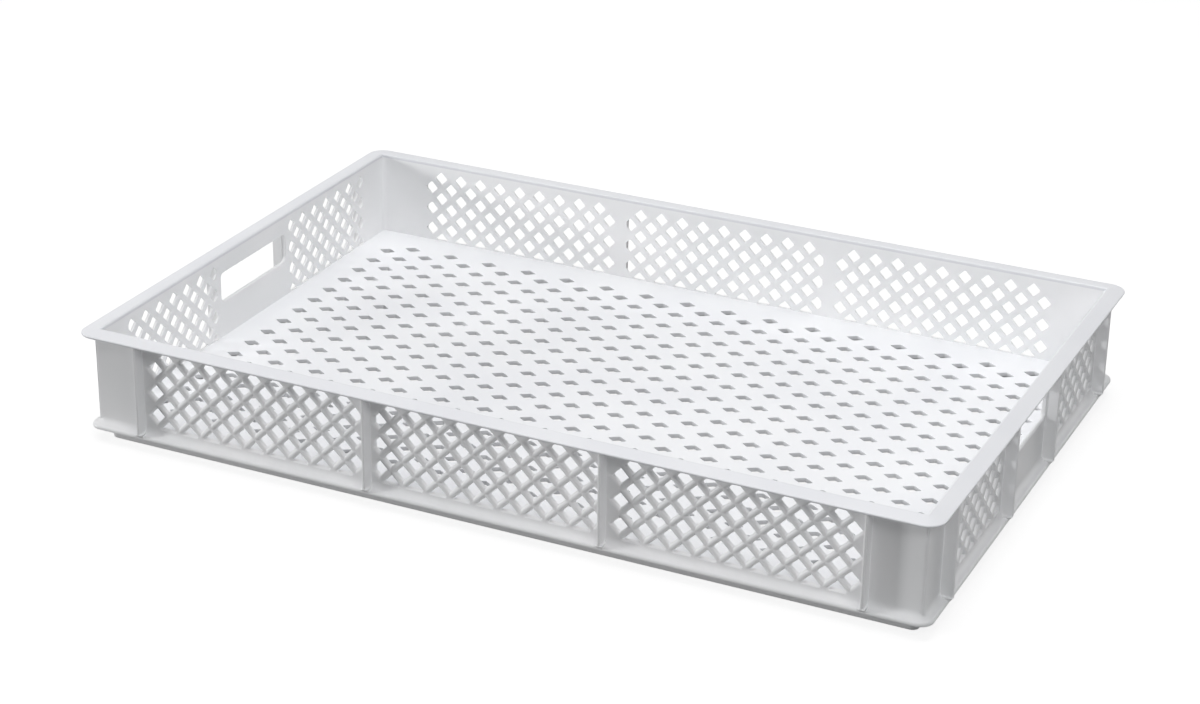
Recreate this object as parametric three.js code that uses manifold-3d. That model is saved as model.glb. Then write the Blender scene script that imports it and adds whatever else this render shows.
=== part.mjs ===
// Stacking drying tray with lattice walls, a perforated floor and two hand slots.
//
// The real tray is a single injection moulding, so nothing moves. It is built here as the
// members that the moulding is divided into by its own feature lines: rim rails, corner
// posts, lattice panels, ribs, handle panels, base flanges, stacking feet and floor.
// Neighbouring members meet face to face.
//
// Millimetres, +Z up, +X along the long side. The origin is the centre of the footprint,
// on the surface that the tray stands on.

import * as THREE from 'three';
import { mergeVertices } from 'three/addons/utils/BufferGeometryUtils.js';
import Module from 'manifold-3d';

const wasm = await Module();
wasm.setup();

// Overall size, over the rim and down to the feet
const LENGTH = 600;
const WIDTH = 400;
const HEIGHT = 80;

// Rim: a flat flange all round, whose inner edge is flush with the inside of the walls
const RIM_WIDTH = 12.5;
const RIM_THICK = 2.5;
const RIM_CORNER = 12;

// Walls, and the legs of the corner posts along the long and the end walls
const WALL_THICK = 3;
const LONG_POST = 35.9;
const END_POST = 30.4;
const POST_CORNER = 3;

// Base flange, which rests on the rim of the tray below, and the foot that drops inside it
const FLANGE_INSET = 3.5;
const FLANGE_THICK = 3;
const FLANGE_CORNER = 12;
const STACK_CLEARANCE = 1.5;
const FOOT_HEIGHT = 9.5;
const FOOT_WIDTH = 5;
const FOOT_CORNER = 5;

// Ribs that stiffen the walls between the base flange and the rim
const RIB_THICK = 2.2;
const RIB_INSET = 1;
const RIB_TOE = 3.5;
const LONG_MIDDLE_BAY = 165.6;

// Wall lattice: square holes standing on their corners, wider outside than inside
const PITCH = 16.8;
const HOLE_INSIDE = 10.4;
const HOLE_OUTSIDE = 12.6;
const TOP_ROW_DROP = 11.5;
const LATTICE_MARGIN = 4;
const SILL = 0.6;

// Hand slots in the end walls
const SLOT_LENGTH = 86;
const SLOT_HEIGHT = 21;
const SLOT_DROP = 15.5;
const SLOT_CORNER = 4;
const SLOT_SIDE = 3;

// Floor: rows of diamond holes, each row half a pitch off its neighbours
const FLOOR_TOP = 17;
const FLOOR_THICK = 3;
const FLOOR_PITCH_X = 33;
const FLOOR_PITCH_Y = 21.6;
const FLOOR_HOLE_X = 13.5;
const FLOOR_HOLE_Y = 9;
const FLOOR_MARGIN_X = 16;
const FLOOR_MARGIN_Y = 20;

// Smoothness of round corners, and how far a cutter runs past the faces it cuts
const ARC_STEPS = 6;
const OVERCUT = 1;

// Places worked out from the sizes above
const RIM_UNDERSIDE = HEIGHT - RIM_THICK;
const FLANGE_TOP = FOOT_HEIGHT + FLANGE_THICK;
const FLOOR_UNDERSIDE = FLOOR_TOP - FLOOR_THICK;
const WALL_INSIDE = RIM_WIDTH;
const WALL_OUTSIDE = RIM_WIDTH - WALL_THICK;
const FOOT_OUTSIDE = WALL_INSIDE + STACK_CLEARANCE;
const FOOT_INSIDE = FOOT_OUTSIDE + FOOT_WIDTH;
const TOP_ROW = HEIGHT - TOP_ROW_DROP;
const LATTICE_SILL = FLOOR_TOP + SILL;
const HANDLE_RIB = SLOT_LENGTH / 2 + RIB_THICK / 2;
const HANDLE_PANEL = SLOT_LENGTH / 2 + SLOT_SIDE;
const INNER_RIB = LONG_MIDDLE_BAY / 2;
const LONG_OUTER_RIB = LENGTH / 2 - WALL_OUTSIDE - LONG_POST;
const END_OUTER_RIB = WIDTH / 2 - WALL_OUTSIDE - END_POST;

const material = new THREE.MeshStandardMaterial({
  color: 0xf1f3f5,
  roughness: 0.42,
  metalness: 0,
});

const tray = new THREE.Group();

function addMesh(parent, name, geometry) {
  const mesh = new THREE.Mesh(geometry, material);
  mesh.name = name;
  parent.add(mesh);
  return mesh;
}

// Turns a closed geometry into a solid that can be cut
function solidFrom(geometry) {
  const bare = geometry.clone();
  bare.deleteAttribute('normal');
  bare.deleteAttribute('uv');
  const merged = mergeVertices(bare);
  const mesh = new wasm.Mesh({
    numProp: 3,
    vertProperties: new Float32Array(merged.attributes.position.array),
    triVerts: new Uint32Array(merged.index.array),
  });
  return new wasm.Manifold(mesh);
}

function geometryFrom(solid) {
  const mesh = solid.getMesh();
  const geometry = new THREE.BufferGeometry();
  geometry.setAttribute('position', new THREE.BufferAttribute(mesh.vertProperties, 3));
  geometry.setIndex(new THREE.BufferAttribute(mesh.triVerts, 1));
  geometry.computeVertexNormals();
  return geometry;
}

// A block between two corners
function blockGeometry(low, high) {
  const size = high.map((value, axis) => value - low[axis]);
  const geometry = new THREE.BoxGeometry(...size);
  geometry.translate(...low.map((value, axis) => value + size[axis] / 2));
  return geometry;
}

// A plan outline raised from one level to another
function raisedGeometry(outline, bottom, top) {
  const geometry = new THREE.ExtrudeGeometry(outline, {
    depth: top - bottom,
    curveSegments: ARC_STEPS,
    bevelEnabled: false,
  });
  geometry.translate(0, 0, bottom);
  return geometry;
}

// A strip of a ring along the front, with its two outer corners rounded
function railOutline(halfLength, outer, inner, radius) {
  const outline = new THREE.Shape();
  outline.moveTo(halfLength, -inner);
  outline.lineTo(-halfLength, -inner);
  outline.lineTo(-halfLength, -outer + radius);
  outline.absarc(-halfLength + radius, -outer + radius, radius, Math.PI, 1.5 * Math.PI);
  outline.absarc(halfLength - radius, -outer + radius, radius, 1.5 * Math.PI, 2 * Math.PI);
  outline.closePath();
  return outline;
}

// A ring made of four rails: the front and back ones carry the rounded corners
function railGeometries(outerInset, innerInset, bottom, top, radius) {
  const halfX = LENGTH / 2 - outerInset;
  const halfY = WIDTH / 2 - outerInset;
  const innerX = LENGTH / 2 - innerInset;
  const innerY = WIDTH / 2 - innerInset;
  const long = raisedGeometry(railOutline(halfX, halfY, innerY, radius), bottom, top);
  const end = blockGeometry([innerX, -innerY, bottom], [halfX, innerY, top]);
  return { long, end };
}

function addRing(name, rails) {
  addMesh(tray, `${name}_front`, rails.long);
  addMesh(tray, `${name}_right`, rails.end);
  addMesh(tray, `${name}_back`, rails.long).rotation.z = Math.PI;
  addMesh(tray, `${name}_left`, rails.end).rotation.z = Math.PI;
}

// The base flange, with the raised seat along its inner edge that carries the floor
function baseFlangeRails() {
  const rails = railGeometries(FLANGE_INSET, FOOT_INSIDE, FOOT_HEIGHT, FLANGE_TOP, FLANGE_CORNER);
  const seatX = LENGTH / 2 - WALL_INSIDE;
  const seatY = WIDTH / 2 - WALL_INSIDE;
  const innerX = LENGTH / 2 - FOOT_INSIDE;
  const innerY = WIDTH / 2 - FOOT_INSIDE;
  const longSeat = blockGeometry([-seatX, -seatY, FOOT_HEIGHT], [seatX, -innerY, FLOOR_UNDERSIDE]);
  const endSeat = blockGeometry([innerX, -innerY, FOOT_HEIGHT], [seatX, innerY, FLOOR_UNDERSIDE]);
  return {
    long: geometryFrom(solidFrom(rails.long).add(solidFrom(longSeat))),
    end: geometryFrom(solidFrom(rails.end).add(solidFrom(endSeat))),
  };
}

// An L in plan that closes the corner between an end wall and a long wall
function addCornerPost(name, signX, signY) {
  const outX = LENGTH / 2 - WALL_OUTSIDE;
  const outY = WIDTH / 2 - WALL_OUTSIDE;
  const inX = LENGTH / 2 - WALL_INSIDE;
  const inY = WIDTH / 2 - WALL_INSIDE;
  const outline = new THREE.Shape();
  outline.moveTo(signX * LONG_OUTER_RIB, signY * inY);
  outline.lineTo(signX * LONG_OUTER_RIB, signY * outY);
  outline.lineTo(signX * (outX - POST_CORNER), signY * outY);
  outline.quadraticCurveTo(
    signX * outX, signY * outY, signX * outX, signY * (outY - POST_CORNER));
  outline.lineTo(signX * outX, signY * END_OUTER_RIB);
  outline.lineTo(signX * inX, signY * END_OUTER_RIB);
  outline.lineTo(signX * inX, signY * inY);
  outline.closePath();
  addMesh(tray, name, raisedGeometry(outline, FLANGE_TOP, RIM_UNDERSIDE));
}

// One lattice hole, along Y, with its wide end outside
function latticeCutter(across, up, halfDepth) {
  const insideRadius = HOLE_INSIDE / 2;
  const outsideRadius = HOLE_OUTSIDE / 2;
  const spread = (outsideRadius - insideRadius) * OVERCUT / WALL_THICK;
  const geometry = new THREE.CylinderGeometry(
    insideRadius - spread, outsideRadius + spread, WALL_THICK + 2 * OVERCUT, 4);
  geometry.translate(across, -(halfDepth - WALL_OUTSIDE - WALL_THICK / 2), up);
  return solidFrom(geometry);
}

// A panel of the wall at the front, with rows of holes that keep clear of its ribs and sill.
// Rows take turns: one has as many holes as fit, the next has one more and ends in cut holes.
function latticeGeometry(from, to, clearFrom, clearTo, fullerFirst, halfDepth) {
  const outer = -(halfDepth - WALL_OUTSIDE);
  const inner = -(halfDepth - WALL_INSIDE);
  const plate = solidFrom(blockGeometry([from, outer, FLANGE_TOP], [to, inner, RIM_UNDERSIDE]));
  const clear = solidFrom(blockGeometry(
    [clearFrom, outer - 2 * OVERCUT, LATTICE_SILL], [clearTo, inner + 2 * OVERCUT, HEIGHT]));
  const centre = (clearFrom + clearTo) / 2;
  const fitting = Math.round((clearTo - clearFrom - HOLE_INSIDE) / PITCH);
  const rows = 1 + Math.floor((TOP_ROW - LATTICE_SILL) / (PITCH / 2));
  const cutters = [];
  for (let row = 0; row < rows; row += 1) {
    const fuller = (row % 2 === 0) === fullerFirst;
    const count = fuller ? fitting + 1 : fitting;
    for (let column = 0; column < count; column += 1) {
      const across = centre + (column - (count - 1) / 2) * PITCH;
      cutters.push(latticeCutter(across, TOP_ROW - row * PITCH / 2, halfDepth));
    }
  }
  const holes = wasm.Manifold.union(cutters).intersect(clear);
  return geometryFrom(plate.subtract(holes));
}

// A rib along the front: its foot is cut back so that it ends on the base flange
function ribGeometry(across, halfDepth) {
  const face = halfDepth - WALL_OUTSIDE;
  const edge = halfDepth - RIB_INSET;
  const toe = halfDepth - FLANGE_INSET;
  const outline = new THREE.Shape();
  outline.moveTo(face, FLANGE_TOP);
  outline.lineTo(toe, FLANGE_TOP);
  outline.lineTo(edge, FLANGE_TOP + RIB_TOE);
  outline.lineTo(edge, RIM_UNDERSIDE);
  outline.lineTo(face, RIM_UNDERSIDE);
  outline.closePath();
  const geometry = new THREE.ExtrudeGeometry(outline, { depth: RIB_THICK, bevelEnabled: false });
  geometry.translate(0, 0, -RIB_THICK / 2);
  const outward = new THREE.Vector3(0, -1, 0);
  const upward = new THREE.Vector3(0, 0, 1);
  const along = new THREE.Vector3(-1, 0, 0);
  geometry.applyMatrix4(new THREE.Matrix4().makeBasis(outward, upward, along));
  geometry.translate(across, 0, 0);
  return geometry;
}

// The plain panel at the middle of an end wall, with the hand slot through it
function handleGeometry(halfDepth) {
  const panel = new THREE.Shape();
  panel.moveTo(-HANDLE_PANEL, FLANGE_TOP);
  panel.lineTo(HANDLE_PANEL, FLANGE_TOP);
  panel.lineTo(HANDLE_PANEL, RIM_UNDERSIDE);
  panel.lineTo(-HANDLE_PANEL, RIM_UNDERSIDE);
  panel.closePath();
  const side = SLOT_LENGTH / 2 - SLOT_CORNER;
  const top = HEIGHT - SLOT_DROP - SLOT_CORNER;
  const bottom = HEIGHT - SLOT_DROP - SLOT_HEIGHT + SLOT_CORNER;
  const slot = new THREE.Path();
  slot.absarc(side, top, SLOT_CORNER, 0, 0.5 * Math.PI);
  slot.absarc(-side, top, SLOT_CORNER, 0.5 * Math.PI, Math.PI);
  slot.absarc(-side, bottom, SLOT_CORNER, Math.PI, 1.5 * Math.PI);
  slot.absarc(side, bottom, SLOT_CORNER, 1.5 * Math.PI, 2 * Math.PI);
  slot.closePath();
  panel.holes.push(slot);
  const geometry = new THREE.ExtrudeGeometry(panel, {
    depth: WALL_THICK,
    curveSegments: ARC_STEPS,
    bevelEnabled: false,
  });
  geometry.rotateX(Math.PI / 2);
  geometry.translate(0, -(halfDepth - WALL_INSIDE), 0);
  return geometry;
}

// Panels and ribs of one wall are numbered from left to right, seen from outside
function addLongWall(side, turn) {
  const halfDepth = WIDTH / 2;
  const wall = new THREE.Group();
  wall.rotation.z = turn;
  tray.add(wall);
  const ribs = [-LONG_OUTER_RIB, -INNER_RIB, INNER_RIB, LONG_OUTER_RIB];
  const clear = RIB_THICK / 2 + LATTICE_MARGIN;
  for (let bay = 0; bay < ribs.length - 1; bay += 1) {
    const from = ribs[bay];
    const to = ribs[bay + 1];
    const panel = latticeGeometry(from, to, from + clear, to - clear, false, halfDepth);
    addMesh(wall, `lattice_${side}_${bay + 1}`, panel);
  }
  ribs.forEach((across, index) => {
    addMesh(wall, `rib_${side}_${index + 1}`, ribGeometry(across, halfDepth));
  });
}

function addEndWall(side, turn) {
  const halfDepth = LENGTH / 2;
  const wall = new THREE.Group();
  wall.rotation.z = turn;
  tray.add(wall);
  const clear = RIB_THICK / 2 + LATTICE_MARGIN;
  const clearNear = HANDLE_RIB + clear;
  const clearFar = END_OUTER_RIB - clear;
  const first = latticeGeometry(
    -END_OUTER_RIB, -HANDLE_PANEL, -clearFar, -clearNear, true, halfDepth);
  const second = latticeGeometry(
    HANDLE_PANEL, END_OUTER_RIB, clearNear, clearFar, true, halfDepth);
  addMesh(wall, `lattice_${side}_1`, first);
  addMesh(wall, `lattice_${side}_2`, second);
  addMesh(wall, `handle_panel_${side}`, handleGeometry(halfDepth));
  const ribs = [-END_OUTER_RIB, -HANDLE_RIB, HANDLE_RIB, END_OUTER_RIB];
  ribs.forEach((across, index) => {
    addMesh(wall, `rib_${side}_${index + 1}`, ribGeometry(across, halfDepth));
  });
}

// One diamond hole through the floor
function floorCutter(x, y) {
  const geometry = new THREE.CylinderGeometry(
    FLOOR_HOLE_X / 2, FLOOR_HOLE_X / 2, FLOOR_THICK + 2 * OVERCUT, 4);
  geometry.rotateX(Math.PI / 2);
  geometry.scale(1, FLOOR_HOLE_Y / FLOOR_HOLE_X, 1);
  geometry.translate(x, y, FLOOR_TOP - FLOOR_THICK / 2);
  return solidFrom(geometry);
}

function addFloor() {
  const halfX = LENGTH / 2 - WALL_INSIDE;
  const halfY = WIDTH / 2 - WALL_INSIDE;
  const plate = solidFrom(blockGeometry(
    [-halfX, -halfY, FLOOR_UNDERSIDE], [halfX, halfY, FLOOR_TOP]));
  const reachX = (halfX - FLOOR_MARGIN_X - FLOOR_HOLE_X / 2) / (FLOOR_PITCH_X / 2);
  const reachY = (halfY - FLOOR_MARGIN_Y - FLOOR_HOLE_Y / 2) / (FLOOR_PITCH_Y / 2);
  const lastColumn = Math.floor(reachX);
  const lastRow = Math.floor(reachY);
  const cutters = [];
  for (let row = -lastRow; row <= lastRow; row += 1) {
    for (let column = -lastColumn; column <= lastColumn; column += 1) {
      if ((row + column) % 2 === 0) {
        cutters.push(floorCutter(column * FLOOR_PITCH_X / 2, row * FLOOR_PITCH_Y / 2));
      }
    }
  }
  addMesh(tray, 'floor', geometryFrom(plate.subtract(wasm.Manifold.union(cutters))));
}

addRing('rim', railGeometries(0, RIM_WIDTH, RIM_UNDERSIDE, HEIGHT, RIM_CORNER));
addRing('base_flange', baseFlangeRails());
addRing('foot', railGeometries(FOOT_OUTSIDE, FOOT_INSIDE, 0, FOOT_HEIGHT, FOOT_CORNER));
addCornerPost('corner_post_front_left', -1, -1);
addCornerPost('corner_post_front_right', 1, -1);
addCornerPost('corner_post_back_right', 1, 1);
addCornerPost('corner_post_back_left', -1, 1);
addLongWall('front', 0);
addEndWall('right', 0.5 * Math.PI);
addLongWall('back', Math.PI);
addEndWall('left', 1.5 * Math.PI);
addFloor();

export default tray;
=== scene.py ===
# White stacking drying tray: the look of the moulding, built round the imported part.
# Lengths are metres. The front wall faces -Y, the long side runs along X, and Z is up.

import math

import bmesh
import bpy
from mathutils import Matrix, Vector


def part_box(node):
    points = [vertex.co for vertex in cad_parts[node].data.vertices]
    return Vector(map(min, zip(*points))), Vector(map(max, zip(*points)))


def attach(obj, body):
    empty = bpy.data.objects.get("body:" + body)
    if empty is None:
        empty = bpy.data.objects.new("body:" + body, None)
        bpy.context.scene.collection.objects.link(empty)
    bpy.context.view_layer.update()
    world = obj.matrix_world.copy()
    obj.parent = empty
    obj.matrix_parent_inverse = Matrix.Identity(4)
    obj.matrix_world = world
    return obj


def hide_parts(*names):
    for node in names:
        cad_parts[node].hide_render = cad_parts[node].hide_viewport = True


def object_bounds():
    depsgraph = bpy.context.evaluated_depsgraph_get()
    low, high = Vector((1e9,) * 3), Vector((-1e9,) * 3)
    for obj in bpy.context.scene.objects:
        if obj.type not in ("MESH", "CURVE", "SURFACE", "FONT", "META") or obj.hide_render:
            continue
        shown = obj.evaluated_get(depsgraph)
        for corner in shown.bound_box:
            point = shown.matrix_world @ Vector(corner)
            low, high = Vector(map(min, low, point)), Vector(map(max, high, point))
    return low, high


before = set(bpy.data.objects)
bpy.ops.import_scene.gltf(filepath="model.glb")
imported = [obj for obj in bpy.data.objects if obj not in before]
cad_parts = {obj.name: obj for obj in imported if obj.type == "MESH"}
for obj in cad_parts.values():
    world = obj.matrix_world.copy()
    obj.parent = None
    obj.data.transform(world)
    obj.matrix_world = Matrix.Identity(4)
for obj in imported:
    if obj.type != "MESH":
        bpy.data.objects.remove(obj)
cad_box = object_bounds()

MM = 0.001
NEAR = 0.002 * MM

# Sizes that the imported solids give
HALF_LENGTH = cad_box[1].x
HALF_WIDTH = cad_box[1].y
RIM_TOP = cad_box[1].z
RIM_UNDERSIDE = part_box("rim_front")[0].z
WALL_INSIDE = HALF_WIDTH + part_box("lattice_front_2")[1].y
WALL_OUTSIDE = HALF_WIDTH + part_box("lattice_front_2")[0].y
WALL_THICK = WALL_INSIDE - WALL_OUTSIDE
FLANGE_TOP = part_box("lattice_front_2")[0].z
FLANGE_EDGE = HALF_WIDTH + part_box("base_flange_front")[0].y
FOOT_OUTSIDE = HALF_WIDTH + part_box("foot_front")[0].y
FOOT_INSIDE = HALF_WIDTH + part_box("foot_front")[1].y
FOOT_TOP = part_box("foot_front")[1].z
FLOOR_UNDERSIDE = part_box("floor")[0].z
FLOOR_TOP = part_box("floor")[1].z
RIB_EDGE = HALF_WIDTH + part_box("rib_front_1")[0].y

# Corner radii in plan; rings are stepped inwards until their corner is as sharp as SHARPEST
RIM_CORNER = 12 * MM
FLANGE_CORNER = 9 * MM
FOOT_CORNER = 5 * MM
POST_CORNER = 2 * MM
POST_FILLET = 3 * MM
SHARPEST = 1 * MM
CORNER_STEPS = 8

# Fine raised line that the mould halves leave down each post
PARTING_LINE = 0.45 * MM

# Wall lattice: the holes are cut from a sheet of diamond cells, wide enough for the longest panel
PITCH = 16.8 * MM
HOLE_INSIDE = 10.4 * MM
TOP_ROW = RIM_TOP - 11.5 * MM
LATTICE_SILL = FLOOR_TOP + 0.6 * MM
SILL_DROP = 2.6 * MM
RIB_GAP = 0.75 * MM
HOLE_CORNER = 0.6 * MM
BAR_CREST = 0.15 * MM
BAR_ROUND = 1.9 * MM
BACK_EDGE = 0.15 * MM
LONG_BAY_HOLES = 9
END_BAY_HOLES = 6
SHEET_CELLS = 19
SHEET_ROW = 4

# Hand slots
SLOT_HALF = 43 * MM
SLOT_TOP = RIM_TOP - 15.5 * MM
SLOT_BOTTOM = SLOT_TOP - 21 * MM
SLOT_CORNER = 4 * MM
SLOT_ROUND = 1.2 * MM

# Floor holes
FLOOR_PITCH_X = 33 * MM
FLOOR_PITCH_Y = 21.6 * MM
FLOOR_HOLE_X = 13.5 * MM
FLOOR_HOLE_Y = 9 * MM
FLOOR_LAST_COLUMN = 16
FLOOR_LAST_ROW = 15
FLOOR_ROUND = 0.5 * MM
FLOOR_DRAFT = 0.1 * MM
FLOOR_HOLE_CORNER = 0.7 * MM

# Rim: its fall to the outer edge, edge roundings, and a short flat that holds each rounding
RIM_FALL = 1.2 * MM
RIM_UNDER_FALL = 0.6 * MM
RIM_ROUND = 0.8 * MM
RIM_LOWER_ROUND = 1.3 * MM
RIM_INNER_ROUND = 1.2 * MM
RIM_FILLET = 0.8 * MM
RIM_HOLD = 0.4 * MM

# Base flange and foot: rounding of edges, and the cove up to the wall
FLANGE_COVE = 4.2 * MM
FLANGE_ROUND = 1.8 * MM
FLANGE_LOWER_ROUND = 0.6 * MM
FOOT_ROUND = 1.2 * MM

# Ribs: rounding, fillets at root and foot, and how far the toe reaches up, down and inwards
RIB_ROUND = 1.0 * MM
RIB_FILLET = 0.7 * MM
RIB_FOOT = 1.2 * MM
RIB_TOE = 1 * MM
RIB_SINK = 1.5 * MM
RIB_BITE = 0.2 * MM

# Faces that meet at less than this angle are shaded as one surface
SMOOTH_ANGLE = math.radians(38)

# Polyethylene: sizes of the pigment cloud and of the mould's grain, and how high the grain stands.
# The spark-eroded grain is about 0.1 mm across: it is drawn at 0.9 mm so that it shows.
CLOUD_SIZE = 70 * MM
GRAIN_SIZE = 0.9 * MM
GRAIN_HEIGHT = 0.05 * MM
POLYETHYLENE_IOR = 1.53

# Stage
TABLE_SIZE = 12
TABLE_DROP = 0.05 * MM
CAMERA_PLACE = (0.7041, -1.5250, 0.8090)
CAMERA_TURN = (65.596, -0.835, 25.502)
CAMERA_SENSOR = 36
CAMERA_LENS = 81.25


# Helpers for working in edit mode

def pick(kind, test):
    """In edit mode, selects the vertices, edges or faces that pass the test, and nothing else."""
    bpy.ops.mesh.select_mode(type=kind)
    bpy.ops.mesh.select_all(action="DESELECT")
    mesh = bpy.context.edit_object.data
    shape = bmesh.from_edit_mesh(mesh)
    items = {"VERT": shape.verts, "EDGE": shape.edges, "FACE": shape.faces}[kind]
    for item in items:
        if test(item):
            item.select_set(True)
    shape.select_flush_mode()
    bmesh.update_edit_mesh(mesh)


def select_only(piece):
    bpy.ops.object.select_all(action="DESELECT")
    piece.select_set(True)
    bpy.context.view_layer.objects.active = piece


def start(name, add, **settings):
    """Adds a primitive, bakes its place into its mesh and opens it in edit mode."""
    bpy.ops.object.select_all(action="DESELECT")
    add(**settings)
    piece = bpy.context.object
    piece.name = name
    bpy.ops.object.transform_apply(location=True, rotation=True, scale=True)
    bpy.ops.object.mode_set(mode="EDIT")
    return piece


def close_up(piece):
    """Leaves edit mode with faces pointing out, smooth rounds and flat flats."""
    bpy.ops.mesh.select_all(action="SELECT")
    bpy.ops.mesh.remove_doubles(threshold=NEAR)
    bpy.ops.mesh.normals_make_consistent(inside=False)
    bpy.ops.object.mode_set(mode="OBJECT")
    select_only(piece)
    bpy.ops.object.shade_smooth_by_angle(angle=SMOOTH_ANGLE)
    flats = piece.modifiers.new("flats", "WEIGHTED_NORMAL")
    flats.keep_sharp = True
    bpy.ops.object.modifier_apply(modifier="flats")
    return piece


def thicken(piece, thickness):
    """Gives an open sheet its wall, on the side away from its normals."""
    bpy.ops.object.mode_set(mode="OBJECT")
    wall = piece.modifiers.new("wall", "SOLIDIFY")
    wall.thickness = thickness
    wall.offset = -1
    bpy.ops.object.modifier_apply(modifier="wall")
    bpy.ops.object.mode_set(mode="EDIT")


def cut_line(point, normal, clear=False):
    bpy.ops.mesh.select_all(action="SELECT")
    bpy.ops.mesh.bisect(plane_co=point, plane_no=normal, clear_outer=clear, threshold=NEAR)


def turned(piece, name, turn):
    """A copy with its own mesh, turned about the middle of the tray."""
    select_only(piece)
    bpy.ops.object.duplicate()
    copy = bpy.context.object
    copy.name = name
    copy.rotation_euler.z = turn
    bpy.ops.object.transform_apply(location=True, rotation=True, scale=True)
    return copy


# Rings: rim, base flange and foot

def arc(inset, height, radius, first, last, steps=5):
    """Section points on an arc, as insets from the tray's edge and heights; angles in degrees."""
    points = []
    for step in range(steps + 1):
        angle = math.radians(first + (last - first) * step / steps)
        points.append((inset + radius * math.cos(angle), height + radius * math.sin(angle)))
    return points


def sweep_section(section, corner, up):
    """Steps a rounded rectangle inwards along a section, from its outermost point."""
    facing = 1 if up else -1
    inset, height = section[0]
    bpy.ops.mesh.select_all(action="DESELECT")
    turn = (0, 0, 0) if up else (math.pi, 0, 0)
    bpy.ops.mesh.primitive_plane_add(size=1, location=(0, 0, height), rotation=turn)
    size = (2 * (HALF_LENGTH - inset), 2 * (HALF_WIDTH - inset), 1)
    bpy.ops.transform.resize(value=size, center_override=(0, 0, height))
    bpy.ops.mesh.select_mode(type="VERT")
    bpy.ops.mesh.bevel(offset=corner, segments=CORNER_STEPS, affect="VERTICES")
    first = inset
    pick("FACE", lambda face: all(abs(v.co.z - height) < NEAR for v in face.verts)
         and face.normal.z * facing > 0.99)
    for next_inset, next_height in section[1:]:
        step = next_inset - inset
        rise = next_height - height
        room = corner - (inset - first) - SHARPEST
        if NEAR < step < room:
            bpy.ops.mesh.inset(thickness=step, depth=rise * facing, use_even_offset=True)
        else:
            bpy.ops.mesh.extrude_region_move(TRANSFORM_OT_translate={"value": (0, 0, rise)})
            scale = [(half - next_inset) / (half - inset) for half in (HALF_LENGTH, HALF_WIDTH)]
            bpy.ops.transform.resize(
                value=(scale[0], scale[1], 1), center_override=(0, 0, next_height))
        inset, height = next_inset, next_height
    bpy.ops.mesh.delete(type="FACE")


def ring(name, halves, corner):
    """A closed ring: each half is a section and the way that it faces."""
    piece = start(name, bpy.ops.mesh.primitive_plane_add, size=1)
    bpy.ops.mesh.select_all(action="SELECT")
    bpy.ops.mesh.delete(type="VERT")
    for section, up in halves:
        sweep_section(section, corner, up)
    bpy.ops.mesh.select_all(action="SELECT")
    bpy.ops.mesh.remove_doubles(threshold=NEAR)
    # An upright first step leaves the starting face behind
    pick("FACE", lambda face: face.calc_area() > HALF_LENGTH * HALF_WIDTH)
    bpy.ops.mesh.delete(type="ONLY_FACE")
    pick("EDGE", lambda edge: edge.is_boundary)
    bpy.ops.mesh.bridge_edge_loops()
    return close_up(piece)


def make_rim():
    """Flange that falls a little to its upright edge, with a soft inner edge and a fillet down
    to the wall."""
    edge_top = RIM_TOP - RIM_FALL
    edge_bottom = RIM_UNDERSIDE - RIM_UNDER_FALL
    above = arc(RIM_ROUND, edge_top - RIM_ROUND, RIM_ROUND, 180, 90, 4)
    inner = WALL_INSIDE - RIM_INNER_ROUND
    above += [(inner - RIM_HOLD, RIM_TOP)]
    above += arc(inner, RIM_TOP - RIM_INNER_ROUND, RIM_INNER_ROUND, 90, 0)
    above += [(WALL_INSIDE, RIM_UNDERSIDE)]
    lower = min(RIM_LOWER_ROUND, above[0][1] - edge_bottom)
    below = [above[0]]
    below += arc(lower, edge_bottom + lower, lower, 180, 270)
    fillet = WALL_OUTSIDE - RIM_FILLET
    below += [(fillet - RIM_HOLD, RIM_UNDERSIDE)]
    below += arc(fillet, RIM_UNDERSIDE - RIM_FILLET, RIM_FILLET, 90, 0)
    return ring("rim_ring", [(above, True), (below, False)], RIM_CORNER)


def make_base_flange():
    """Ledge with a rounded edge, a cove up to the wall and the seat that carries the floor."""
    cove = WALL_OUTSIDE - FLANGE_COVE
    above = arc(FLANGE_EDGE + FLANGE_ROUND, FLANGE_TOP - FLANGE_ROUND, FLANGE_ROUND, 180, 90)
    above += arc(cove, FLANGE_TOP + FLANGE_COVE, FLANGE_COVE, 270, 360, 7)[1:]
    lower = FLANGE_EDGE + FLANGE_LOWER_ROUND
    below = [above[0]]
    below += arc(lower, FOOT_TOP + FLANGE_LOWER_ROUND, FLANGE_LOWER_ROUND, 180, 270, 3)
    below += [(FOOT_INSIDE, FOOT_TOP), (FOOT_INSIDE, FLOOR_UNDERSIDE)]
    return ring("base_flange_ring", [(above, True), (below, False)], FLANGE_CORNER)


def make_foot():
    """Recessed ring under the flange, with its lower edges rounded."""
    section = [(FOOT_OUTSIDE, FOOT_TOP)]
    section += arc(FOOT_OUTSIDE + FOOT_ROUND, FOOT_ROUND, FOOT_ROUND, 180, 270)
    section += arc(FOOT_INSIDE - FOOT_ROUND, FOOT_ROUND, FOOT_ROUND, 270, 360)
    section += [(FOOT_INSIDE, FOOT_TOP)]
    return ring("foot_ring", [(section, False)], FOOT_CORNER)


# Lattice panels and floor: a grid of diamonds with a hole sunk into each

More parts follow.
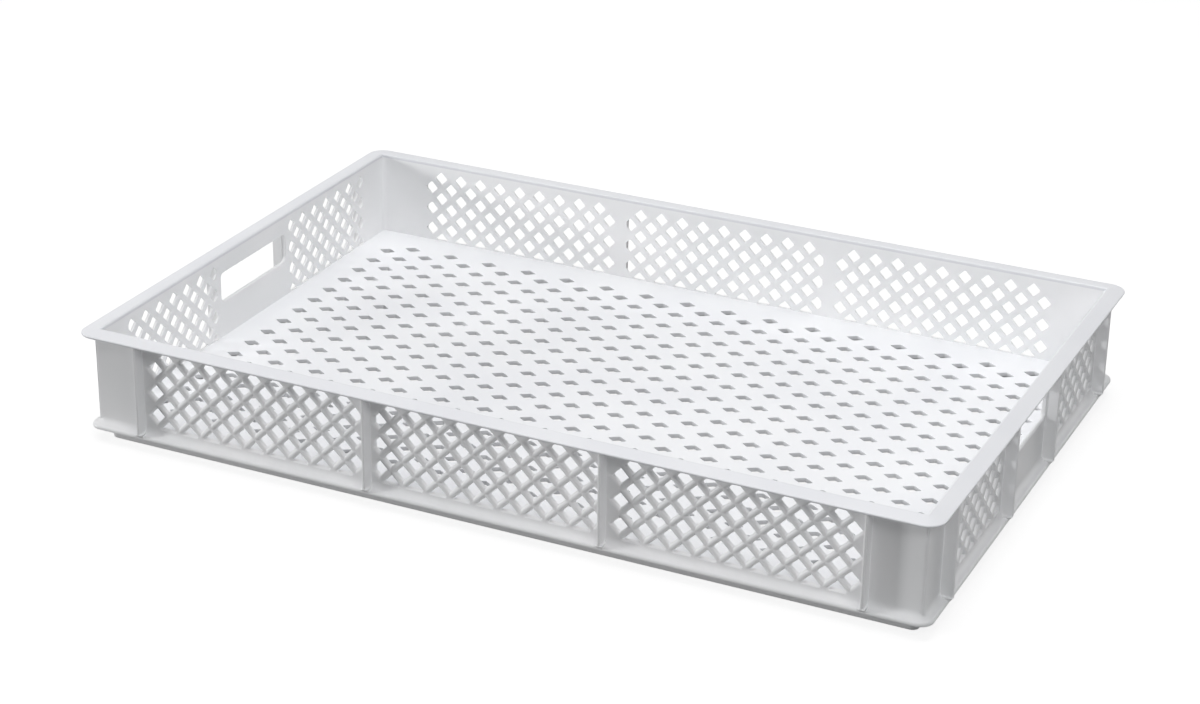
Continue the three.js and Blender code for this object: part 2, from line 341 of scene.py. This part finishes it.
def start_diamonds(name, cells, place, turn, pitch):
    """Opens a sheet of diamond cells; pitch is a cell's width and height, across its corners."""
    sheet = start(name, bpy.ops.mesh.primitive_grid_add, x_subdivisions=cells,
                  y_subdivisions=cells, size=cells / math.sqrt(2), rotation=(0, 0, math.pi / 4))
    bpy.ops.mesh.select_all(action="SELECT")
    bpy.ops.transform.resize(value=(pitch[0], pitch[1], 1), center_override=(0, 0, 0))
    bpy.ops.object.mode_set(mode="OBJECT")
    sheet.rotation_euler = turn
    sheet.location = place
    bpy.ops.object.transform_apply(location=True, rotation=True, scale=True)
    bpy.ops.object.mode_set(mode="EDIT")
    return sheet


def sink_holes(is_cell, steps):
    """Sinks a hole into each cell by steps of inset and depth, and opens its bottom."""
    pick("FACE", is_cell)
    for inset, depth in steps:
        bpy.ops.mesh.inset(
            thickness=inset, depth=-depth, use_individual=True, use_even_offset=True)
    bpy.ops.mesh.delete(type="FACE")
    bpy.ops.object.mode_set(mode="OBJECT")


def weld_sheets(face, back, is_corner, corner, corner_steps):
    """Joins the two faces of a perforated plate at holes and edges, and rounds hole corners."""
    bpy.ops.object.select_all(action="DESELECT")
    back.select_set(True)
    face.select_set(True)
    bpy.context.view_layer.objects.active = face
    bpy.ops.object.join()
    bpy.ops.object.mode_set(mode="EDIT")
    bpy.ops.mesh.select_all(action="SELECT")
    bpy.ops.mesh.remove_doubles(threshold=10 * NEAR)
    pick("EDGE", lambda edge: edge.is_boundary)
    bpy.ops.mesh.bridge_edge_loops()
    pick("EDGE", is_corner)
    bpy.ops.mesh.bevel(offset=corner, segments=corner_steps, affect="EDGES")
    return close_up(face)


def bar_steps():
    """Insets and depths from a cell's edge to the back of a wall hole: a half-round bar,
    then a tapered side."""
    steps = [(BAR_CREST, 0)]
    across, depth = 0, 0
    for angle in (25, 50, 75):
        turn = math.radians(angle)
        next_across, next_depth = BAR_ROUND * math.sin(turn), BAR_ROUND * (1 - math.cos(turn))
        steps.append((next_across - across, next_depth - depth))
        across, depth = next_across, next_depth
    hole_edge = (PITCH - HOLE_INSIDE) / 2 / math.sqrt(2)
    steps.append((hole_edge - BAR_CREST - across, WALL_THICK - BACK_EDGE - depth))
    return steps, [(hole_edge - BACK_EDGE, 0), (BACK_EDGE, BACK_EDGE)]


def make_lattice(name, low, high, half_depth, rib_low, rib_high, fitting, fuller_first):
    """A wall panel, facing front: staggered diamond holes between half-round bars."""
    outer = -(half_depth - WALL_OUTSIDE)
    inner = -(half_depth - WALL_INSIDE)
    middle = (rib_low + rib_high) / 2
    middles = []
    rows = 1 + math.floor((TOP_ROW - LATTICE_SILL) / (PITCH / 2))
    for row in range(rows):
        count = fitting + 1 if (row % 2 == 0) == fuller_first else fitting
        for column in range(count):
            across = middle + (column - (count - 1) / 2) * PITCH
            middles.append((across, TOP_ROW - row * PITCH / 2))
    clear_low, clear_high = rib_low + RIB_GAP, rib_high - RIB_GAP
    sill = middles[-1][1] - SILL_DROP
    odd_first = (fitting + int(fuller_first)) % 2 == 1
    place_x = middle if odd_first else middle + PITCH / 2

    def is_cell(face):
        centre = face.calc_center_median()
        if not (clear_low < centre.x < clear_high and centre.z > sill):
            return False
        return any(all(abs(vert.co.x - x) + abs(vert.co.z - z) < PITCH / 2 + NEAR
                       for vert in face.verts) for x, z in middles)

    def open_sheet(sheet_name, depth, flip, steps):
        place = (place_x, depth, TOP_ROW - SHEET_ROW * PITCH / 2)
        sheet = start_diamonds(
            sheet_name, SHEET_CELLS, place, (math.pi / 2, 0, 0), (PITCH, PITCH))
        cut_line((clear_low, 0, 0), (1, 0, 0))
        cut_line((clear_high, 0, 0), (1, 0, 0))
        cut_line((0, 0, sill), (0, 0, 1))
        cut_line((low, 0, 0), (-1, 0, 0), clear=True)
        cut_line((high, 0, 0), (1, 0, 0), clear=True)
        cut_line((0, 0, FLANGE_TOP), (0, 0, -1), clear=True)
        cut_line((0, 0, RIM_UNDERSIDE), (0, 0, 1), clear=True)
        if flip:
            bpy.ops.mesh.select_all(action="SELECT")
            bpy.ops.mesh.flip_normals()
        sink_holes(is_cell, steps)
        return sheet

    def is_corner(edge):
        a, b = (vert.co for vert in edge.verts)
        if abs(a.y - b.y) < NEAR:
            return False
        for x, z in middles:
            near = max(abs(a.x - x) + abs(a.z - z), abs(b.x - x) + abs(b.z - z)) < PITCH / 2
            upright = max(abs(a.x - x), abs(b.x - x)) < 10 * NEAR
            level = max(abs(a.z - z), abs(b.z - z)) < 10 * NEAR and z > sill + PITCH / 2
            if near and (upright or level):
                return True
        return False

    face_steps, back_steps = bar_steps()
    back = open_sheet("lattice_back_sheet", inner, True, back_steps)
    face = open_sheet(name, outer, False, face_steps)
    return weld_sheets(face, back, is_corner, HOLE_CORNER, 2)


def make_floor():
    """Perforated plate with staggered diamond holes, their upper edges broken."""
    low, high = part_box("floor")
    pitch = (FLOOR_PITCH_X, FLOOR_PITCH_Y)
    cells = 2 * math.ceil(high.x / FLOOR_PITCH_X + high.y / FLOOR_PITCH_Y) + 1

    def is_cell(face):
        centre = face.calc_center_median()
        return (abs(centre.x) < (FLOOR_LAST_COLUMN + 0.5) * FLOOR_PITCH_X / 2
                and abs(centre.y) < (FLOOR_LAST_ROW + 0.5) * FLOOR_PITCH_Y / 2)

    def open_sheet(sheet_name, height, flip, steps):
        sheet = start_diamonds(sheet_name, cells, (0, 0, height), (0, 0, 0), pitch)
        cut_line((low.x, 0, 0), (-1, 0, 0), clear=True)
        cut_line((high.x, 0, 0), (1, 0, 0), clear=True)
        cut_line((0, low.y, 0), (0, -1, 0), clear=True)
        cut_line((0, high.y, 0), (0, 1, 0), clear=True)
        if flip:
            bpy.ops.mesh.select_all(action="SELECT")
            bpy.ops.mesh.flip_normals()
        sink_holes(is_cell, steps)
        return sheet

    def is_corner(edge):
        a, b = (vert.co for vert in edge.verts)
        inside = max(abs(a.x), abs(b.x)) < high.x - MM and max(abs(a.y), abs(b.y)) < high.y - MM
        return inside and abs(a.z - b.z) > NEAR

    cell_reach = pitch[0] * pitch[1] / math.hypot(*pitch) / 2
    hole_reach = FLOOR_HOLE_X * FLOOR_HOLE_Y / math.hypot(FLOOR_HOLE_X, FLOOR_HOLE_Y) / 2
    hole_edge = cell_reach - hole_reach
    thick = FLOOR_TOP - FLOOR_UNDERSIDE
    slant = FLOOR_ROUND * math.sin(math.radians(45))
    top_steps = [(hole_edge - FLOOR_ROUND, 0), (slant, FLOOR_ROUND - slant),
                 (FLOOR_ROUND - slant, slant), (FLOOR_DRAFT, thick - FLOOR_ROUND)]
    under = open_sheet("floor_underside", FLOOR_UNDERSIDE, True, [(hole_edge + FLOOR_DRAFT, 0)])
    top = open_sheet("perforated_floor", FLOOR_TOP, False, top_steps)
    return weld_sheets(top, under, is_corner, FLOOR_HOLE_CORNER, 1)


# Plain walls: handle panels, corner posts and ribs

def make_handle_panel(name, half, half_depth):
    """Middle of an end wall, facing front, with the hand slot and its rounded edge."""
    outer = -(half_depth - WALL_OUTSIDE)
    middle = (SLOT_TOP + SLOT_BOTTOM) / 2
    panel_middle = (RIM_UNDERSIDE + FLANGE_TOP) / 2
    panel = start(
        name, bpy.ops.mesh.primitive_plane_add, size=1, location=(0, outer, middle),
        rotation=(math.pi / 2, 0, 0))
    bpy.ops.mesh.select_all(action="SELECT")
    bpy.ops.transform.resize(
        value=(2 * SLOT_HALF, 1, SLOT_TOP - SLOT_BOTTOM), center_override=(0, outer, middle))
    bpy.ops.mesh.select_mode(type="VERT")
    bpy.ops.mesh.bevel(offset=SLOT_CORNER, segments=6, affect="VERTICES")
    bpy.ops.mesh.delete(type="ONLY_FACE")
    bpy.ops.mesh.primitive_plane_add(
        size=1, location=(0, outer, panel_middle), rotation=(math.pi / 2, 0, 0))
    bpy.ops.transform.resize(
        value=(2 * half, 1, RIM_UNDERSIDE - FLANGE_TOP), center_override=(0, outer, panel_middle))
    bpy.ops.mesh.delete(type="ONLY_FACE")
    bpy.ops.mesh.select_all(action="SELECT")
    bpy.ops.mesh.fill(use_beauty=True)
    bpy.ops.mesh.select_all(action="SELECT")
    bpy.ops.mesh.normals_make_consistent(inside=False)
    shape = bmesh.from_edit_mesh(panel.data)
    if sum(face.normal.y for face in shape.faces) > 0:
        bpy.ops.mesh.flip_normals()
    thicken(panel, WALL_THICK)

    def is_slot_edge(edge):
        a, b = (vert.co for vert in edge.verts)
        level = abs(a.y - b.y) < NEAR
        within = all(abs(p.x) < SLOT_HALF + NEAR and SLOT_BOTTOM - NEAR < p.z < SLOT_TOP + NEAR
                     for p in (a, b))
        return level and within and any(abs(face.normal.y) < 0.1 for face in edge.link_faces)

    pick("EDGE", is_slot_edge)
    bpy.ops.mesh.bevel(offset=SLOT_ROUND, segments=3, profile=0.5, affect="EDGES")
    return close_up(panel)


def make_corner_post(name, node, side):
    """L-shaped corner at the front, with a rounded outer corner and a small inner fillet."""
    low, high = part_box(node)
    out_x = side * (HALF_LENGTH - WALL_OUTSIDE)
    in_x = side * (HALF_LENGTH - WALL_INSIDE)
    out_y = -(HALF_WIDTH - WALL_OUTSIDE)
    in_y = -(HALF_WIDTH - WALL_INSIDE)
    far_x = low.x if side > 0 else high.x
    post = start(
        name, bpy.ops.mesh.primitive_plane_add, size=WALL_THICK,
        location=((out_x + in_x) / 2, (out_y + in_y) / 2, FLANGE_TOP))
    pick("EDGE", lambda edge: all(abs(vert.co.x - in_x) < NEAR for vert in edge.verts))
    bpy.ops.mesh.extrude_edges_move(TRANSFORM_OT_translate={"value": (far_x - in_x, 0, 0)})
    pick("EDGE", lambda edge: all(
        abs(vert.co.y - in_y) < NEAR and abs(vert.co.x) > abs(in_x) - NEAR for vert in edge.verts))
    bpy.ops.mesh.extrude_edges_move(TRANSFORM_OT_translate={"value": (0, high.y - in_y, 0)})
    bpy.ops.mesh.select_all(action="SELECT")
    bpy.ops.mesh.normals_make_consistent(inside=False)
    bpy.ops.mesh.extrude_region_move(
        TRANSFORM_OT_translate={"value": (0, 0, RIM_UNDERSIDE - FLANGE_TOP)})

    def upright_at(x, y):
        return lambda edge: all(
            abs(vert.co.x - x) < NEAR and abs(vert.co.y - y) < NEAR for vert in edge.verts)

    pick("EDGE", upright_at(out_x, out_y))
    bpy.ops.mesh.bevel(offset=POST_CORNER, segments=7, affect="EDGES")
    pick("FACE", lambda face: abs(face.normal.z) < 0.1 and -face.normal.y > 0.66
         and face.normal.x * side > 0.66)
    bpy.ops.mesh.extrude_region_shrink_fatten(
        TRANSFORM_OT_shrink_fatten={"value": PARTING_LINE})
    pick("EDGE", upright_at(in_x, in_y))
    bpy.ops.mesh.bevel(offset=POST_FILLET, segments=6, affect="EDGES")
    return close_up(post)


def make_rib(name, across, half_depth):
    """Upright rib, facing front: fillets at its root and foot, a round edge and a cut-back toe."""
    low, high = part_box("rib_front_1")
    thick = high.x - low.x
    root = -(half_depth - WALL_OUTSIDE)
    edge = -(half_depth - RIB_EDGE)
    toe = -(half_depth - FLANGE_EDGE - RIB_BITE)
    toe_top = FLANGE_TOP + RIB_TOE
    bottom = FLANGE_TOP - RIB_SINK
    centre = (across, (root + edge) / 2, (RIM_UNDERSIDE + bottom) / 2)
    rib = start(name, bpy.ops.mesh.primitive_cube_add, size=1, location=centre)
    bpy.ops.mesh.select_all(action="SELECT")
    bpy.ops.transform.resize(
        value=(thick, root - edge, RIM_UNDERSIDE - bottom), center_override=centre)
    feet = arc(RIB_FOOT, RIB_FOOT, RIB_FOOT, 180, 270, 4)
    for above, _ in feet:
        cut_line((0, 0, toe_top + above), (0, 0, 1))
    flares = arc(RIB_FILLET, RIB_FILLET, RIB_FILLET, 180, 270, 4)
    for along, _ in flares[1:]:
        cut_line((0, root - along, 0), (0, 1, 0))

    def widen(flare):
        bpy.ops.transform.resize(
            value=((thick + 2 * flare) / thick, 1, 1), center_override=(across, 0, 0))

    pick("VERT", lambda vert: abs(vert.co.y - edge) < NEAR and vert.co.z < bottom + NEAR)
    bpy.ops.transform.translate(value=(0, toe - edge, 0))
    for along, flare in flares:
        pick("VERT", lambda vert: abs(vert.co.y - (root - along)) < 10 * NEAR)
        widen(flare)
    for above, flare in feet:
        pick("VERT", lambda vert: abs(vert.co.z - toe_top - above) < 10 * NEAR
             or above < NEAR and vert.co.z < toe_top)
        widen(flare)

    def is_front_corner(item):
        a, b = (vert.co for vert in item.verts)
        return (max(a.y, b.y) < edge + NEAR and abs(a.z - b.z) > NEAR
                and (a.x - across) * (b.x - across) > 0)

    pick("EDGE", is_front_corner)
    bpy.ops.mesh.bevel(offset=RIB_ROUND, segments=4, profile=0.5, affect="EDGES")
    return close_up(rib)


# Colours and materials

def colour(code):
    """Linear RGBA of an sRGB hex value."""
    parts = [int(code[at:at + 2], 16) / 255 for at in (1, 3, 5)]
    linear = [c / 12.92 if c <= 0.04045 else ((c + 0.055) / 1.055) ** 2.4 for c in parts]
    return (*linear, 1)


def add_node(tree, kind, inputs=None, **settings):
    """Adds a node: settings are its properties, and inputs are values or other nodes' outputs."""
    node = tree.nodes.new(kind)
    for name, value in settings.items():
        setattr(node, name, value)
    for socket, value in (inputs or {}).items():
        if isinstance(value, bpy.types.NodeSocket):
            tree.links.new(value, node.inputs[socket])
        else:
            node.inputs[socket].default_value = value
    return node


def moulded_polyethylene(name, body, shade, roughness, streak_across, streak_along, relief):
    """White high-density polyethylene, injection moulded: opaque white with a faint cloud of
    pigment, a satin skin, and the fine streaks that the mould leaves as it draws off."""
    material = bpy.data.materials.new(name)
    material.use_nodes = True
    tree = material.node_tree
    tree.nodes.clear()
    place = add_node(tree, "ShaderNodeTexCoord").outputs["Object"]
    cloud = add_node(tree, "ShaderNodeTexNoise", {
        "Vector": place, "Scale": 1 / CLOUD_SIZE, "Detail": 2.0, "Roughness": 0.5})
    tint = add_node(tree, "ShaderNodeValToRGB", {"Fac": cloud.outputs["Fac"]})
    tint.color_ramp.elements[0].position = 0.35
    tint.color_ramp.elements[0].color = colour(shade)
    tint.color_ramp.elements[1].position = 0.65
    tint.color_ramp.elements[1].color = colour(body)
    streak = (streak_across, streak_across, streak_along)
    stretch = add_node(tree, "ShaderNodeMapping", {
        "Vector": place, "Scale": [1 / size for size in streak]})
    streaks = add_node(tree, "ShaderNodeTexNoise", {
        "Vector": stretch.outputs["Vector"], "Scale": 1.0, "Detail": 3.0, "Roughness": 0.55})
    skin = add_node(tree, "ShaderNodeMapRange", {
        "Value": streaks.outputs["Fac"], "From Min": 0.3, "From Max": 0.7,
        "To Min": roughness - 0.05, "To Max": roughness + 0.07})
    grain = add_node(tree, "ShaderNodeTexNoise", {
        "Vector": place, "Scale": 1 / GRAIN_SIZE, "Detail": 1.0, "Roughness": 0.5})
    relief_mix = add_node(tree, "ShaderNodeMath", {
        0: streaks.outputs["Fac"], 1: grain.outputs["Fac"]}, operation="ADD")
    bump = add_node(tree, "ShaderNodeBump", {
        "Height": relief_mix.outputs["Value"], "Strength": relief, "Distance": GRAIN_HEIGHT})
    plastic = add_node(tree, "ShaderNodeBsdfPrincipled", {
        "Base Color": tint.outputs["Color"], "Roughness": skin.outputs["Result"],
        "Normal": bump.outputs["Normal"], "IOR": POLYETHYLENE_IOR, "Metallic": 0.0})
    add_node(tree, "ShaderNodeOutputMaterial", {"Surface": plastic.outputs["BSDF"]})
    return material


def seen_rays(tree):
    """One for rays that show a surface to the eye, directly or in a reflection; else nought."""
    path = add_node(tree, "ShaderNodeLightPath")
    seen = add_node(tree, "ShaderNodeMath", {
        0: path.outputs["Is Camera Ray"], 1: path.outputs["Is Glossy Ray"]}, operation="MAXIMUM")
    seen = add_node(tree, "ShaderNodeMath", {
        0: seen.outputs["Value"], 1: path.outputs["Is Transmission Ray"]}, operation="MAXIMUM")
    return seen.outputs["Value"]


def studio_white(name):
    """Pale table top: white to the camera, with the tray's soft shadow kept."""
    material = bpy.data.materials.new(name)
    material.use_nodes = True
    tree = material.node_tree
    tree.nodes.clear()
    matte = add_node(tree, "ShaderNodeBsdfDiffuse", {"Color": colour("#8C8C8C")})
    bright = add_node(tree, "ShaderNodeBsdfDiffuse", {"Color": colour("#888888")})
    glow = add_node(tree, "ShaderNodeEmission", {"Color": colour("#FFFFFF"), "Strength": 0.84})
    lifted = add_node(tree, "ShaderNodeAddShader", {
        0: bright.outputs["BSDF"], 1: glow.outputs["Emission"]})
    blend = add_node(tree, "ShaderNodeMixShader", {
        0: seen_rays(tree), 1: matte.outputs["BSDF"], 2: lifted.outputs["Shader"]})
    add_node(tree, "ShaderNodeOutputMaterial", {"Surface": blend.outputs["Shader"]})
    return material


# Making the tray

wall_plastic = moulded_polyethylene(
    "moulded_polyethylene_wall", "#F5F5F6", "#F0F1F2", 0.38, 1.3 * MM, 60 * MM, 0.25)
# The rim is the same white plastic as the walls. Its darker colours are painted shade that holds
# the brightly lit rim top down under the overhead lamps.
rim_plastic_painted_shade = moulded_polyethylene(
    "moulded_polyethylene_rim_painted_shade", "#E5E6E9", "#E0E1E5", 0.38, 3 * MM, 3 * MM, 0.2)
floor_plastic = moulded_polyethylene(
    "moulded_polyethylene_floor", "#F5F6F8", "#F0F1F4", 0.46, 2 * MM, 2 * MM, 0.3)


def keep(piece, material, *nodes):
    """Finishes a piece in its plastic and puts it in the place of its solids."""
    piece.data.materials.clear()
    piece.data.materials.append(material)
    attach(piece, "root")
    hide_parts(*nodes)


SIDES = ("front", "right", "back", "left")
HALF_TURN = math.pi
END_WALLS = (("right", math.pi / 2), ("left", -math.pi / 2))

keep(make_rim(), rim_plastic_painted_shade, *[f"rim_{side}" for side in SIDES])
keep(make_base_flange(), wall_plastic, *[f"base_flange_{side}" for side in SIDES])
keep(make_foot(), wall_plastic, *[f"foot_{side}" for side in SIDES])
keep(make_floor(), floor_plastic, "floor")

for bay in (1, 2, 3):
    low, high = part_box(f"lattice_front_{bay}")
    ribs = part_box(f"rib_front_{bay}")[1].x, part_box(f"rib_front_{bay + 1}")[0].x
    panel = make_lattice(
        f"front_lattice_{bay}", low.x, high.x, HALF_WIDTH, *ribs, LONG_BAY_HOLES, False)
    keep(turned(panel, f"back_lattice_{bay}", HALF_TURN), wall_plastic, f"lattice_back_{bay}")
    keep(panel, wall_plastic, f"lattice_front_{bay}")

for bay in (1, 2):
    low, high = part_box(f"lattice_right_{bay}")
    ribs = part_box(f"rib_right_{2 * bay - 1}")[1].y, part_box(f"rib_right_{2 * bay}")[0].y
    flat = make_lattice("end_lattice", low.y, high.y, HALF_LENGTH, *ribs, END_BAY_HOLES, True)
    for side, turn in END_WALLS:
        keep(turned(flat, f"{side}_lattice_{bay}", turn), wall_plastic, f"lattice_{side}_{bay}")
    bpy.data.objects.remove(flat)

flat = make_handle_panel("end_handle_panel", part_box("handle_panel_right")[1].y, HALF_LENGTH)
for side, turn in END_WALLS:
    keep(turned(flat, f"{side}_handle_panel", turn), wall_plastic, f"handle_panel_{side}")
bpy.data.objects.remove(flat)

for place, opposite, side in (("front_right", "back_left", 1), ("front_left", "back_right", -1)):
    post = make_corner_post(f"{place}_post", f"corner_post_{place}", side)
    keep(turned(post, f"{opposite}_post", HALF_TURN), wall_plastic, f"corner_post_{opposite}")
    keep(post, wall_plastic, f"corner_post_{place}")

for index in (1, 2, 3, 4):
    low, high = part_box(f"rib_front_{index}")
    rib = make_rib(f"front_rib_{index}", (low.x + high.x) / 2, HALF_WIDTH)
    keep(turned(rib, f"back_rib_{index}", HALF_TURN), wall_plastic, f"rib_back_{index}")
    keep(rib, wall_plastic, f"rib_front_{index}")
    low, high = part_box(f"rib_right_{index}")
    flat = make_rib("end_rib", (low.y + high.y) / 2, HALF_LENGTH)
    for side, turn in END_WALLS:
        keep(turned(flat, f"{side}_rib_{index}", turn), wall_plastic, f"rib_{side}_{index}")
    bpy.data.objects.remove(flat)


# Stage: a pale table, soft light and the camera

bpy.ops.object.select_all(action="DESELECT")
bpy.ops.mesh.primitive_plane_add(size=TABLE_SIZE, location=(0, 0, -TABLE_DROP))
table = bpy.context.object
table.name = "table"
bpy.ops.object.transform_apply(location=True, rotation=True, scale=True)
table.data.materials.append(studio_white("matte_white_laminate"))


def add_softbox(name, place, target, size, power):
    """A rectangular lamp, turned to its target; size in metres and power in watts."""
    bpy.ops.object.light_add(type="AREA", location=place)
    lamp = bpy.context.object
    lamp.name = name
    lamp.data.shape = "RECTANGLE"
    lamp.data.size, lamp.data.size_y = size
    lamp.data.energy = power
    aim = lamp.location - Vector(target)
    lamp.rotation_euler = aim.to_track_quat("Z", "Y").to_euler()


add_softbox("overhead", (-0.28, 0.15, 1.9), (0, 0, 0.05), (2.4, 1.6), 20.5)
add_softbox("overhead_right", (0.4, -0.1, 2.2), (-0.2, 0.1, 0.05), (1.2, 0.8), 10.5)
add_softbox("front_strip", (0, -0.62, 1.9), (0, -0.4, 0.05), (2.4, 0.35), 3.5)
add_softbox("front_right_fill", (1.3, -1.3, 1.6), (0, -0.1, 0.05), (1.2, 0.6), 11)
add_softbox("left_key", (-3.45, -1.67, 0.8), (0, 0, 0.05), (0.5, 0.5), 60)
add_softbox("right_fill", (2.2, -1.4, 0.5), (0, -0.1, 0.05), (0.6, 0.5), 3.5)
add_softbox("back_fill", (1.6, 2.5, 0.9), (0, 0, 0.05), (1.6, 1.2), 6)

world = bpy.data.worlds.new("studio")
bpy.context.scene.world = world
world.use_nodes = True
air = world.node_tree
air.nodes.clear()
ambient = add_node(air, "ShaderNodeBackground", {"Color": colour("#F6F8FF"), "Strength": 0.05})
backdrop = add_node(air, "ShaderNodeBackground", {"Color": colour("#FFFFFF"), "Strength": 1.0})
behind = add_node(air, "ShaderNodeMixShader", {
    0: seen_rays(air), 1: ambient.outputs["Background"], 2: backdrop.outputs["Background"]})
add_node(air, "ShaderNodeOutputWorld", {"Surface": behind.outputs["Shader"]})

bpy.ops.object.camera_add(
    location=CAMERA_PLACE, rotation=[math.radians(angle) for angle in CAMERA_TURN])
camera = bpy.context.object
camera.name = "camera"
camera.data.sensor_width = CAMERA_SENSOR
camera.data.lens = CAMERA_LENS
bpy.context.scene.camera = camera
bpy.context.scene.view_settings.view_transform = "Standard"
